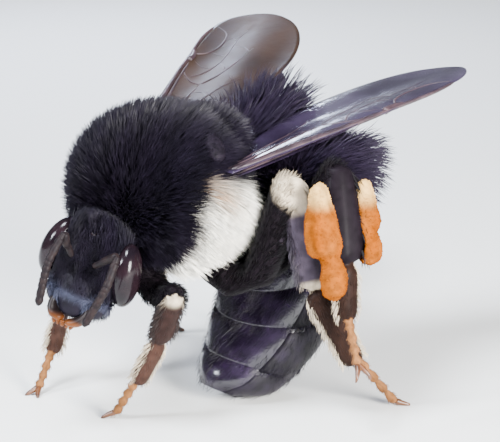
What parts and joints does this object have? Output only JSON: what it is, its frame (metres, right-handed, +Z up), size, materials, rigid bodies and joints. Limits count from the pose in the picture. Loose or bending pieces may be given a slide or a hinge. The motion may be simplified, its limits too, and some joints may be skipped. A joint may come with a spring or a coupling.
{
  "type": "bumblebee model",
  "caption": "Life-size still model of a dark bumblebee with a pale patch on each side of the thorax, smoky wings, a curled abdomen and orange pollen on the hind legs",
  "frame": {"origin": "the middle of the small flat under the abdomen's curled end, on the floor", "axes": "+Z up, head towards -Y, the bee's left side towards +X"},
  "size_m": [0.0216, 0.0233, 0.015],
  "materials": {
    "thorax_hair": "dense short black hair with a cream patch on each side",
    "head_hair": "short black hair over glossy black shell, blue-grey at the mouth",
    "abdomen_hair": "long purple-black hair in front, thin hair over glossy bands behind",
    "shell": "smooth dark shell",
    "eye": "glossy, finely faceted",
    "feeler": "satin ringed black",
    "jaw": "orange-brown, grooved",
    "leg": "dark brown shell with pale and dark bristles",
    "foot": "orange-brown short hair, dark claws",
    "wing": "smoky membrane with dark veins and a violet sheen",
    "pollen": "packed moist grains, orange, paler at the top"
  },
  "bodies": {
    "root": {"head": "head_hair", "eye_left": "eye", "eye_right": "eye", "mandible_left": "jaw", "mandible_right": "jaw", "scape_left": "feeler", "scape_right": "feeler", "flagellum_left": "feeler", "flagellum_right": "feeler", "thorax": "thorax_hair", "tegula_left": "shell", "tegula_right": "shell", "forewing_left": "wing", "forewing_right": "wing", "hindwing_left": "wing", "hindwing_right": "wing", "foreleg_left_femur": "leg", "foreleg_left_tibia": "leg", "foreleg_left_basitarsus": "leg", "foreleg_left_tarsus": "foot", "foreleg_right_femur": "leg", "foreleg_right_tibia": "leg", "foreleg_right_basitarsus": "leg", "foreleg_right_tarsus": "foot", "middleleg_left_femur": "leg", "middleleg_left_tibia": "leg", "middleleg_left_basitarsus": "leg", "middleleg_left_tarsus": "foot", "middleleg_right_femur": "leg", "middleleg_right_tibia": "leg", "middleleg_right_basitarsus": "leg", "middleleg_right_tarsus": "foot", "hindleg_left_femur": "leg", "hindleg_left_tibia": "leg", "hindleg_left_basitarsus": "leg", "hindleg_left_tarsus": "foot", "hindleg_right_femur": "leg", "hindleg_right_tibia": "leg", "hindleg_right_basitarsus": "leg", "hindleg_right_tarsus": "foot", "pollen_left_front": "pollen", "pollen_left_rear": "pollen", "pollen_right_front": "pollen", "pollen_right_rear": "pollen", "abdomen_1": "abdomen_hair", "abdomen_2": "abdomen_hair", "abdomen_3": "abdomen_hair", "abdomen_4": "abdomen_hair", "abdomen_5": "abdomen_hair", "abdomen_6": "abdomen_hair"}
  },
  "joints": []
}
